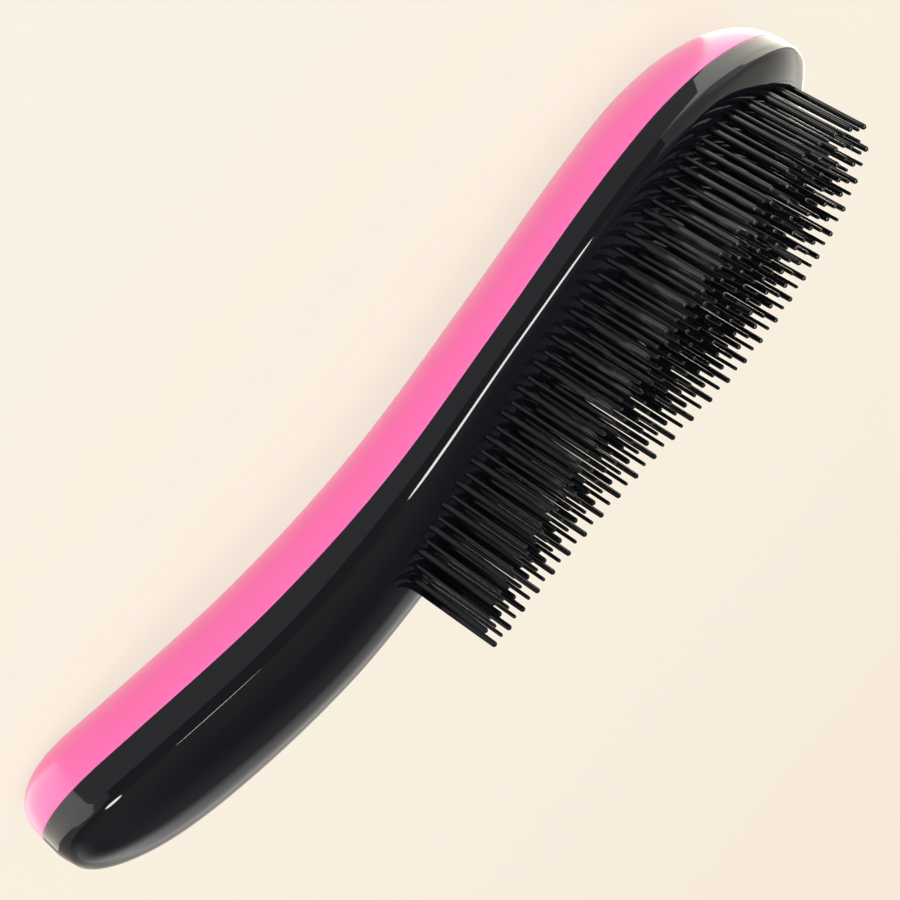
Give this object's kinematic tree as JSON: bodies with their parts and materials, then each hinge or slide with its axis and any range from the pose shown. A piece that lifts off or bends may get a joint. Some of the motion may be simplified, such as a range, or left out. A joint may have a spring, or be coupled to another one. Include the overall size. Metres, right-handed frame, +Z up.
{
  "type": "detangling brush",
  "caption": "Detangling hairbrush: S-curved glossy handle and head made of two shells, with a pad of long parallel flexible pins leaning slightly forwards.",
  "frame": {"origin": "on the surface that the brush lies on, under the middle of its bounding box", "axes": "+X along the brush from the butt of the handle to the tip of the head, +Y across it, +Z up out of the surface, the way the pins stand"},
  "size_m": [0.23, 0.059, 0.0559],
  "materials": {
    "back_cover": "mirror-gloss pink moulding",
    "front_shell": "mirror-gloss black moulding",
    "pin_pad": "glossy black flexible moulding",
    "pad_tray": "plain moulded, not seen"
  },
  "bodies": {
    "root": {"back_cover": "back_cover", "front_shell": "front_shell", "pin_pad": "pin_pad", "pad_tray": "pad_tray"}
  },
  "joints": []
}
